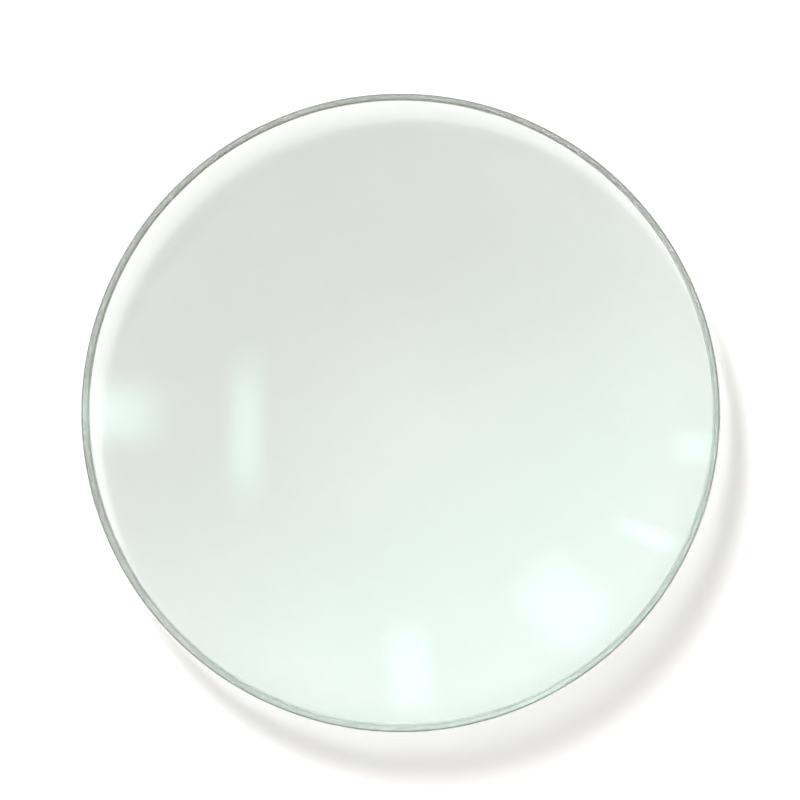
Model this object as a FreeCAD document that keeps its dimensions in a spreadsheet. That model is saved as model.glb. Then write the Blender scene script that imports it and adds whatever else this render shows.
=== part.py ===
"""Uncut spectacle lens: one round meniscus of clear crown glass, before it is cut to a frame.

Frame, in millimetres: +Z runs along the optical axis, from the convex front face up to the
concave back face. The origin is the front vertex, the point on which the lens lies when its
hollow side is up.
"""
import os

import FreeCAD
import Part
import Sketcher

# Driving dimensions: alias, value, meaning. Lengths are in millimetres. Powers are in dioptres,
# so a face's radius is 1000 * (glass_index - 1) / power.
DIMENSIONS = [
    ("lens_diameter", 70.0, "outer diameter of the ground edge"),
    ("centre_thickness", 2.2, "glass between the two vertices"),
    ("glass_index", 1.523, "refractive index of white crown glass"),
    ("front_power", 2.5, "power of the convex front face"),
    ("back_power", 4.5, "strength of the concave back face, which diverges"),
    ("bevel", 0.15, "legs of the 45 degree safety bevel round each face"),
]
FRONT_RADIUS = "1000 * (dimensions.glass_index - 1) / dimensions.front_power"
BACK_RADIUS = "1000 * (dimensions.glass_index - 1) / dimensions.back_power"

# Where the section is first drawn, before its constraints move it into place.
DRAFT_RADIUS = 100.0
DRAFT_THICKNESS = 5.0
DRAFT_RIM = 35.0
DRAFT_BEVEL = 0.5

# Sketcher's names for the points of a line or an arc, and for its own origin and vertical axis.
START, END, CENTRE = 1, 2, 3
ORIGIN, VERTICAL_AXIS = -1, -2


def make_sheet(doc):
    """The spreadsheet of driving dimensions, one row each: name, value, meaning."""
    sheet = doc.addObject("Spreadsheet::Sheet", "dimensions")
    for row, (alias, value, meaning) in enumerate(DIMENSIONS, start=1):
        sheet.set(f"A{row}", alias)
        sheet.set(f"B{row}", str(value))
        sheet.set(f"C{row}", meaning)
        sheet.setAlias(f"B{row}", alias)
    doc.recompute()


def origin_plane(body, role):
    """The plane of the body's own origin that has this role."""
    return next(feature for feature in body.Origin.OriginFeatures if feature.Role == role)


def draft_arc(vertex_height, rim):
    """An arc that opens upwards, from the axis at this height out to this radius."""
    centre = FreeCAD.Vector(0, vertex_height + DRAFT_RADIUS, 0)
    circle = Part.Circle(centre, FreeCAD.Vector(0, 0, 1), DRAFT_RADIUS)
    on_axis = circle.parameter(FreeCAD.Vector(0, vertex_height, 0))
    at_rim = circle.parameter(FreeCAD.Vector(rim, vertex_height, 0))
    return Part.ArcOfCircle(circle, on_axis, at_rim)


def draw_outline(sketch):
    """Draws the section's six lines and arcs, joins them in a ring, and returns their numbers."""
    face_rim = DRAFT_RIM - DRAFT_BEVEL
    bottom = FreeCAD.Vector(0, 0, 0)
    top = FreeCAD.Vector(0, DRAFT_THICKNESS, 0)
    face_out = FreeCAD.Vector(face_rim, 0, 0)
    edge_low = FreeCAD.Vector(DRAFT_RIM, DRAFT_BEVEL, 0)
    edge_high = FreeCAD.Vector(DRAFT_RIM, DRAFT_THICKNESS - DRAFT_BEVEL, 0)
    axis = sketch.addGeometry(Part.LineSegment(bottom, top))
    back = sketch.addGeometry(draft_arc(DRAFT_THICKNESS, face_rim))
    back_bevel = sketch.addGeometry(Part.LineSegment(top + face_out, edge_high))
    edge = sketch.addGeometry(Part.LineSegment(edge_high, edge_low))
    front_bevel = sketch.addGeometry(Part.LineSegment(edge_low, face_out))
    front = sketch.addGeometry(draft_arc(0, face_rim))
    joins = [
        (ORIGIN, START, axis, START),
        (axis, END, back, START),
        (back, END, back_bevel, START),
        (back_bevel, END, edge, START),
        (edge, END, front_bevel, START),
        (front_bevel, END, front, END),
        (front, START, axis, START),
    ]
    for join in joins:
        sketch.addConstraint(Sketcher.Constraint("Coincident", *join))
    return axis, back, back_bevel, edge, front_bevel, front


def bind(sketch, name, expression, *constraint):
    """Adds a dimension with this name to the sketch and ties it to the spreadsheet."""
    index = sketch.addConstraint(Sketcher.Constraint(*constraint))
    sketch.renameConstraint(index, name)
    sketch.setExpression(f"Constraints.{name}", expression)


def half_section(body):
    """The half of the lens's section that lies on the +X side of the axis."""
    sketch = body.newObject("Sketcher::SketchObject", "half_section")
    sketch.AttachmentSupport = [(origin_plane(body, "XZ_Plane"), "")]
    sketch.MapMode = "FlatFace"
    axis, back, back_bevel, edge, front_bevel, front = draw_outline(sketch)

    for line in (axis, edge):
        sketch.addConstraint(Sketcher.Constraint("Vertical", line))
    for arc in (back, front):
        sketch.addConstraint(Sketcher.Constraint("PointOnObject", arc, CENTRE, VERTICAL_AXIS))

    bind(sketch, "centre_thickness", "dimensions.centre_thickness",
         "DistanceY", axis, START, axis, END, DRAFT_THICKNESS)
    bind(sketch, "rim_radius", "dimensions.lens_diameter / 2",
         "DistanceX", ORIGIN, START, edge, START, DRAFT_RIM)
    bind(sketch, "back_radius", BACK_RADIUS, "Radius", back, DRAFT_RADIUS)
    bind(sketch, "front_radius", FRONT_RADIUS, "Radius", front, DRAFT_RADIUS)
    bind(sketch, "back_bevel_width", "dimensions.bevel",
         "DistanceX", back_bevel, START, back_bevel, END, DRAFT_BEVEL)
    bind(sketch, "back_bevel_height", "dimensions.bevel",
         "DistanceY", back_bevel, END, back_bevel, START, DRAFT_BEVEL)
    bind(sketch, "front_bevel_width", "dimensions.bevel",
         "DistanceX", front_bevel, END, front_bevel, START, DRAFT_BEVEL)
    bind(sketch, "front_bevel_height", "dimensions.bevel",
         "DistanceY", front_bevel, END, front_bevel, START, DRAFT_BEVEL)
    return sketch


def lens(doc):
    """The lens: its half section turned once about the optical axis."""
    body = doc.addObject("PartDesign::Body", "lens")
    body.Label = "lens"
    turned = body.newObject("PartDesign::Revolution", "turned_section")
    turned.Profile = half_section(body)
    turned.ReferenceAxis = (turned.Profile[0], ["V_Axis"])
    turned.Angle = 360
    doc.recompute()
    return body


def check(doc, bodies):
    """Stops if an object failed, a sketch is loose, or a body has no sound shape."""
    for item in doc.Objects:
        if {"Invalid", "Error"} & set(item.State):
            raise RuntimeError(f"{item.Name} failed: {item.State}")
        if item.TypeId == "Sketcher::SketchObject" and not item.FullyConstrained:
            raise RuntimeError(f"{item.Name} is not fully constrained")
    for body in bodies:
        shape = body.Shape
        if shape.isNull() or not shape.isValid() or shape.Volume <= 0:
            raise RuntimeError(f"{body.Label} has no sound shape")


def main():
    doc = FreeCAD.newDocument("spectacle_lens")
    make_sheet(doc)
    bodies = [lens(doc)]
    doc.recompute()
    check(doc, bodies)
    os.makedirs("parts", exist_ok=True)
    for body in bodies:
        body.Shape.exportStep(os.path.join("parts", f"{body.Label}.step"))
        box = body.Shape.optimalBoundingBox()
        print(f"{body.Label}: {body.Shape.Volume:.1f} mm3, {box.XLength:.3f} x {box.YLength:.3f}"
              f" x {box.ZLength:.3f} mm, lowest point {box.ZMin:.4f}")


main()
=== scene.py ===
"""Looks of the uncut spectacle lens: coated glass with a ground edge, on a pale table in soft light."""
import math
from dataclasses import dataclass

import bmesh
import bpy
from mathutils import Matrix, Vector, noise


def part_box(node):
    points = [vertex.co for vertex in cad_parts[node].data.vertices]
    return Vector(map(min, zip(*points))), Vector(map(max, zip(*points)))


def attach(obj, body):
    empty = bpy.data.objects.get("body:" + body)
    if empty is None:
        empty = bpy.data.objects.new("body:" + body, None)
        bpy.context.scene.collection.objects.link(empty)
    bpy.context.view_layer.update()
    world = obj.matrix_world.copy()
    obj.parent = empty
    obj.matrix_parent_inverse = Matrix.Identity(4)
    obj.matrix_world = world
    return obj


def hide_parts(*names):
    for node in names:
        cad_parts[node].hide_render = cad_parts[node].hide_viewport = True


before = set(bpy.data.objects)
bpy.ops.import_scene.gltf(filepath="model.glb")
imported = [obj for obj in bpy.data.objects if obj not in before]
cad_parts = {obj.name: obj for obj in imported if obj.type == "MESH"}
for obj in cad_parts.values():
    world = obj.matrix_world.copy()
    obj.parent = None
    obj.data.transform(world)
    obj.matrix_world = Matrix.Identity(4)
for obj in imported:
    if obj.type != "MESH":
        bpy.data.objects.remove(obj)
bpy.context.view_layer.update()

LENS_LOW, LENS_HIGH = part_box("lens")

# The lens, in metres and dioptres. The rest of its shape follows from the CAD box.
GLASS_INDEX = 1.523
FRONT_POWER = 2.5
BACK_POWER = 4.5
BEVEL = 0.00015
FRONT_CURVE = (GLASS_INDEX - 1) / FRONT_POWER
BACK_CURVE = (GLASS_INDEX - 1) / BACK_POWER
RIM = (LENS_HIGH.x - LENS_LOW.x) / 2

# How finely the lens is turned, and how much its hand-held bevels wander in width.
STEPS_ROUND = 720
STEPS_ACROSS = 56
STEPS_EDGE = 10
BEVEL_WANDER = 0.00006
BEVEL_WAVES = 9.0
SHARP_ANGLE = math.radians(15)

# The glass: the faint green of its body, what its faces let through and what their coating reflects.
BODY_COLOUR = (0.64, 0.80, 0.70, 1.0)
BODY_DENSITY = 20.0
CLEAR_COLOUR = (0.805, 0.83, 0.82, 1.0)
DUSTY_COLOUR = (0.725, 0.75, 0.74, 1.0)
COATING_COLOUR = (0.50, 0.96, 0.83, 1.0)

# Wipe marks on the polished faces: how many to a metre, the noise levels where their haze starts and is
# full, and how rough it is then.
WIPE_SCALE = 60.0
WIPE_START = 0.45
WIPE_FULL = 0.8
WIPE_ROUGHNESS = 0.02

# Dust on the polished faces: cells to a metre, each with one speck, the speck's solid core and its outer rim
# as parts of a cell, and how proud it stands.
DUST_SCALE = 420.0
DUST_CORE = 0.03
DUST_RIM = 0.06
DUST_HEIGHT = 0.00001
DUST_BUMP = 0.3

# The edge's grinding: how much light passes it, rings about 0.5 mm apart, finer grit, the grain level where
# it is roughest, and how deep it is cut.
GROUND_CLARITY = 0.92
GROUND_DARK = (0.95, 0.98, 0.95, 1.0)
GROUND_LIGHT = (1.0, 1.0, 1.0, 1.0)
RING_SCALE = 600.0
GRIT_SCALE = 2500.0
GRAIN_FULL = 0.6
GROUND_SMOOTHEST = 0.4
GROUND_ROUGHEST = 0.65
GRIND_DEPTH = 0.00002
GRIND_BUMP = 0.6

# The table top.
FLOOR_GREY = 0.9
FLOOR_ROUGHNESS = 0.9
FLOOR_SIZE = 3.0
FLOOR_GAP = 0.00002

# The room: bright low down, and dark overhead, where only the lamps are.
SKY_COLOUR = (1.0, 0.96, 0.91, 1.0)
HORIZON_LIGHT = 2.1
ZENITH_LIGHT = 0.03
HORIZON_TOP = math.radians(10)
ZENITH_BOTTOM = math.radians(38)

# Every panel hangs this far from the lens.
LAMP_DISTANCE = 0.9

# The camera looks almost straight down on the lens, which fills most of the picture, a little low in it.
CAMERA_DISTANCE = 0.5
CAMERA_AZIMUTH = math.radians(45)
CAMERA_TILT = math.radians(2)
SENSOR_MM = 36.0
LENS_SHARE_OF_WIDTH = 0.799
LENS_SHARE_BELOW_CENTRE = 0.0169
FRAME_WIDTH = 2 * RIM / LENS_SHARE_OF_WIDTH
LENS_BELOW_CENTRE = LENS_SHARE_BELOW_CENTRE * FRAME_WIDTH


@dataclass
class Lamp:
    """A soft panel, in degrees as the lens sees it. Its share is how brightly it lights the floor."""
    name: str
    azimuth: float
    zenith: float
    width: float
    height: float
    share: float
    soft_edge: float
    colour: tuple = (1.0, 1.0, 1.0)


LAMPS = [
    Lamp("ceiling", 123, 20, width=98, height=62, share=0.70, soft_edge=0.45),
    Lamp("window", 117, 45, width=16, height=27, share=0.48, soft_edge=0.30, colour=(1.0, 0.99, 0.98)),
    Lamp("lamp_left", 136, 22.3, width=9, height=12, share=0.010, soft_edge=0.42),
    Lamp("lamp_far", 96, 21.7, width=5.7, height=11, share=0.006, soft_edge=0.40),
    Lamp("lamp_slit", 158.6, 25.5, width=2.4, height=8.5, share=0.0022, soft_edge=0.50),
    Lamp("lamp_low", 177, 28, width=4, height=6, share=0.0018, soft_edge=0.40),
    Lamp("lamp_right", 359, 12.5, width=18, height=5, share=0.009, soft_edge=0.45, colour=(1.0, 1.0, 0.95)),
    Lamp("lamp_side", 356, 24.5, width=8, height=12, share=0.011, soft_edge=0.45),
]


def sag(curve, radius):
    """How far a sphere of this radius of curvature has risen at this distance from its axis."""
    return curve - math.sqrt(curve ** 2 - radius ** 2)


# The lens is highest where its hollow face meets the bevel.
CENTRE_THICKNESS = LENS_HIGH.z - sag(BACK_CURVE, RIM - BEVEL)


def front_height(radius):
    """The convex face underneath, at this distance from the axis."""
    return sag(FRONT_CURVE, radius)


def back_height(radius):
    """The hollow face on top, at this distance from the axis."""
    return CENTRE_THICKNESS + sag(BACK_CURVE, radius)


def bevel_leg(angle, seed):
    """The bevel's width at this angle. It is never under the CAD bevel, so the lens never grows."""
    place = Vector((math.cos(angle), math.sin(angle), seed)) * BEVEL_WAVES
    return BEVEL + BEVEL_WANDER * (0.5 + 0.5 * noise.noise(place))


def section(angle):
    """The lens's outline at this angle, from front vertex to back vertex: (radius, height)."""
    front_leg = bevel_leg(angle, seed=1.0)
    back_leg = bevel_leg(angle, seed=2.0)
    front_rim = RIM - front_leg
    back_rim = RIM - back_leg
    low = front_height(front_rim) + front_leg
    high = back_height(back_rim) - back_leg
    across = [i / STEPS_ACROSS for i in range(STEPS_ACROSS + 1)]
    up = [i / STEPS_EDGE for i in range(STEPS_EDGE + 1)]
    front = [(front_rim * part, front_height(front_rim * part)) for part in across]
    edge = [(RIM, low + (high - low) * part) for part in up]
    back = [(back_rim * part, back_height(back_rim * part)) for part in reversed(across)]
    return front + edge + back


def lens_mesh():
    """The lens turned about its axis. Faces of material 0 are polished, those of material 1 are ground."""
    bm = bmesh.new()
    angles = [2 * math.pi * k / STEPS_ROUND for k in range(STEPS_ROUND)]
    sections = [section(angle) for angle in angles]
    lines = [
        [bm.verts.new((r * math.cos(angle), r * math.sin(angle), z)) for r, z in outline[1:-1]]
        for angle, outline in zip(angles, sections)
    ]
    front_pole = bm.verts.new((0, 0, front_height(0)))
    back_pole = bm.verts.new((0, 0, back_height(0)))
    ground = range(STEPS_ACROSS - 1, STEPS_ACROSS + STEPS_EDGE + 1)
    for here, after in zip(lines, lines[1:] + lines[:1]):
        bm.faces.new((front_pole, after[0], here[0]))
        bm.faces.new((back_pole, here[-1], after[-1]))
        for i in range(len(here) - 1):
            face = bm.faces.new((here[i], after[i], after[i + 1], here[i + 1]))
            face.material_index = int(i in ground)
    for face in bm.faces:
        face.smooth = True
    mesh = bpy.data.meshes.new("lens_glass")
    bm.to_mesh(mesh)
    bm.free()
    mesh.set_sharp_from_angle(angle=SHARP_ANGLE)
    return mesh


def new_material(name):
    """A node material, its shader and its output."""
    material = bpy.data.materials.new(name)
    material.use_nodes = True
    nodes = material.node_tree.nodes
    return material, nodes["Principled BSDF"], nodes["Material Output"]


def node(tree, kind, inputs=None, **settings):
    """A node of this kind with these settings, and with these sockets set or linked."""
    made = tree.nodes.new(kind)
    for key, value in settings.items():
        setattr(made, key, value)
    for key, value in (inputs or {}).items():
        if isinstance(value, bpy.types.NodeSocket):
            tree.links.new(value, made.inputs[key])
        else:
            made.inputs[key].default_value = value
    return made


def ramp(tree, value, start, end, low=0.0, high=1.0, interpolation="LINEAR"):
    """A number that goes from low to high while the value goes from start to end, and stays between them."""
    return node(tree, "ShaderNodeMapRange", {
        "Value": value, "From Min": start, "From Max": end, "To Min": low, "To Max": high,
    }, interpolation_type=interpolation).outputs["Result"]


def product(tree, first, second):
    """These two numbers multiplied."""
    return node(tree, "ShaderNodeMath", {0: first, 1: second}, operation="MULTIPLY").outputs["Value"]


def bump(tree, height, strength, distance):
    """A normal that follows this height."""
    return node(tree, "ShaderNodeBump", {
        "Height": height, "Strength": strength, "Distance": distance,
    }).outputs["Normal"]


def mix(tree, factor, low_colour, high_colour):
    """A colour between these two."""
    mixer = node(tree, "ShaderNodeMix", {0: factor}, data_type="RGBA")
    mixer.inputs["A"].default_value = low_colour
    mixer.inputs["B"].default_value = high_colour
    return mixer.outputs["Result"]


def new_glass(name, clarity):
    """Crown glass, with the faint green of its iron all through it: the material and its shader."""
    material, shader, output = new_material(name)
    shader.inputs["Transmission Weight"].default_value = clarity
    shader.inputs["IOR"].default_value = GLASS_INDEX
    tree = material.node_tree
    depth = node(tree, "ShaderNodeVolumeAbsorption", {"Color": BODY_COLOUR, "Density": BODY_DENSITY})
    tree.links.new(depth.outputs["Volume"], output.inputs["Volume"])
    return material, shader


def finish_surface(tree, shader, colour, roughness, normal):
    """Gives the shader the three things that vary over a surface."""
    tree.links.new(colour, shader.inputs["Base Color"])
    tree.links.new(roughness, shader.inputs["Roughness"])
    tree.links.new(normal, shader.inputs["Normal"])


def polished_material():
    """Polished, coated glass with the last trace of a wipe cloth and a little dust on it."""
    material, shader = new_glass("coated_glass", clarity=1.0)
    shader.inputs["Specular Tint"].default_value = COATING_COLOUR
    tree = material.node_tree
    place = node(tree, "ShaderNodeTexCoord").outputs["Object"]
    wipe = node(tree, "ShaderNodeTexNoise", {
        "Vector": place, "Scale": WIPE_SCALE, "Detail": 4.0, "Roughness": 0.6, "Distortion": 1.5,
    })
    haze = ramp(tree, wipe.outputs["Fac"], WIPE_START, WIPE_FULL, high=WIPE_ROUGHNESS)
    cells = node(tree, "ShaderNodeTexVoronoi", {"Vector": place, "Scale": DUST_SCALE})
    speck = ramp(tree, cells.outputs["Distance"], DUST_CORE, DUST_RIM, low=1.0, high=0.0)
    proud = bump(tree, speck, DUST_BUMP, DUST_HEIGHT)
    colour = mix(tree, speck, CLEAR_COLOUR, DUSTY_COLOUR)
    finish_surface(tree, shader, colour, haze, proud)
    return material


def ground_material():
    """Fine-ground glass: a matt edge with the wheel's rings round it."""
    material, shader = new_glass("ground_glass", GROUND_CLARITY)
    tree = material.node_tree
    place = node(tree, "ShaderNodeTexCoord").outputs["Object"]
    rings = node(tree, "ShaderNodeTexWave", {
        "Vector": place, "Scale": RING_SCALE, "Distortion": 1.2, "Detail": 2.0, "Detail Scale": 0.4,
    }, bands_direction="Z")
    grit = node(tree, "ShaderNodeTexNoise", {"Vector": place, "Scale": GRIT_SCALE, "Detail": 3.0})
    grain = product(tree, rings.outputs["Fac"], grit.outputs["Fac"])
    matt = ramp(tree, grain, 0.0, GRAIN_FULL, GROUND_SMOOTHEST, GROUND_ROUGHEST)
    cut = bump(tree, grain, GRIND_BUMP, GRIND_DEPTH)
    colour = mix(tree, grain, GROUND_DARK, GROUND_LIGHT)
    finish_surface(tree, shader, colour, matt, cut)
    return material


def add_lens():
    """The lens itself, in place of the plain CAD one."""
    piece = bpy.data.objects.new("lens_glass", lens_mesh())
    bpy.context.scene.collection.objects.link(piece)
    piece.data.materials.append(polished_material())
    piece.data.materials.append(ground_material())
    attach(piece, "root")
    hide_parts("lens")


def add_floor():
    """A plain pale table top, just under the lens."""
    mesh = bpy.data.meshes.new("floor")
    half = FLOOR_SIZE / 2
    corners = [(-half, -half, 0), (half, -half, 0), (half, half, 0), (-half, half, 0)]
    mesh.from_pydata(corners, [], [(0, 1, 2, 3)])
    floor = bpy.data.objects.new("floor", mesh)
    bpy.context.scene.collection.objects.link(floor)
    floor.location.z = LENS_LOW.z - FLOOR_GAP
    material, shader, _ = new_material("pale_table")
    shader.inputs["Base Color"].default_value = (FLOOR_GREY, FLOOR_GREY, FLOOR_GREY, 1.0)
    shader.inputs["Roughness"].default_value = FLOOR_ROUGHNESS
    mesh.materials.append(material)


def direction(azimuth, zenith):
    """The unit vector at this angle round from +X and this angle down from straight up."""
    level = math.sin(zenith)
    return Vector((level * math.cos(azimuth), level * math.sin(azimuth), math.cos(zenith)))


def soften(light, edge):
    """Fades the panel towards its edges, as the cloth of a softbox does."""
    light.use_nodes = True
    tree = light.node_tree
    place = node(tree, "ShaderNodeNewGeometry").outputs["Parametric"]
    sides = node(tree, "ShaderNodeSeparateXYZ", {"Vector": place})
    middle = 0.5
    fades = []
    for axis in ("X", "Y"):
        inset = node(tree, "ShaderNodeMath", {0: sides.outputs[axis], 1: middle}, operation="PINGPONG")
        fades.append(ramp(tree, inset.outputs["Value"], 0.0, edge, interpolation="SMOOTHSTEP"))
    tree.links.new(product(tree, *fades), tree.nodes["Emission"].inputs["Strength"])


def panel_length(degrees):
    """How long a side has to be to look this wide from the lens."""
    return 2 * LAMP_DISTANCE * math.tan(math.radians(degrees) / 2)


def add_lamp(lamp):
    """Hangs the panel facing the lens. Its power is what a matt floor needs to take on the lamp's share."""
    zenith = math.radians(lamp.zenith)
    way = direction(math.radians(lamp.azimuth), zenith)
    floor_power = (math.pi * LAMP_DISTANCE) ** 2 / (FLOOR_GREY * math.cos(zenith))
    light = bpy.data.lights.new(lamp.name, "AREA")
    light.shape = "RECTANGLE"
    light.size = panel_length(lamp.width)
    light.size_y = panel_length(lamp.height)
    light.color = lamp.colour
    light.energy = lamp.share * floor_power / (1 - lamp.soft_edge) ** 2
    soften(light, lamp.soft_edge)
    panel = bpy.data.objects.new(lamp.name, light)
    bpy.context.scene.collection.objects.link(panel)
    panel.location = way * LAMP_DISTANCE
    panel.rotation_euler = way.to_track_quat("Z", "Y").to_euler()
    panel.visible_camera = False


def add_sky():
    """The walls of the room, from bright at the horizon to dark overhead."""
    world = bpy.data.worlds.new("room")
    bpy.context.scene.world = world
    world.use_nodes = True
    tree = world.node_tree
    way = node(tree, "ShaderNodeTexCoord").outputs["Generated"]
    height = node(tree, "ShaderNodeSeparateXYZ", {"Vector": way}).outputs["Z"]
    start = math.sin(HORIZON_TOP)
    end = math.sin(ZENITH_BOTTOM)
    level = ramp(tree, height, start, end, HORIZON_LIGHT, ZENITH_LIGHT, interpolation="SMOOTHSTEP")
    sky = tree.nodes["Background"]
    sky.inputs["Color"].default_value = SKY_COLOUR
    tree.links.new(level, sky.inputs["Strength"])


def add_camera():
    """A camera almost straight above the lens, framed on its rim."""
    camera = bpy.data.objects.new("camera", bpy.data.cameras.new("camera"))
    bpy.context.scene.collection.objects.link(camera)
    way = direction(CAMERA_AZIMUTH, CAMERA_TILT)
    aim = Vector((0, LENS_BELOW_CENTRE, LENS_HIGH.z))
    camera.location = aim + way * CAMERA_DISTANCE
    camera.rotation_euler = Vector((0, 0, 1)).rotation_difference(way).to_euler()
    camera.data.sensor_width = SENSOR_MM
    camera.data.lens = SENSOR_MM * CAMERA_DISTANCE / FRAME_WIDTH
    bpy.context.scene.camera = camera


def set_view():
    """Plain colours, and every bounce that light needs to get through the glass and back."""
    scene = bpy.context.scene
    scene.view_settings.view_transform = "Standard"
    scene.cycles.blur_glossy = 0.0
    scene.cycles.sample_clamp_indirect = 0.0
    scene.cycles.transmission_bounces = 16
    scene.cycles.max_bounces = 24


add_camera()
add_lens()
add_floor()
add_sky()
for lamp in LAMPS:
    add_lamp(lamp)
set_view()
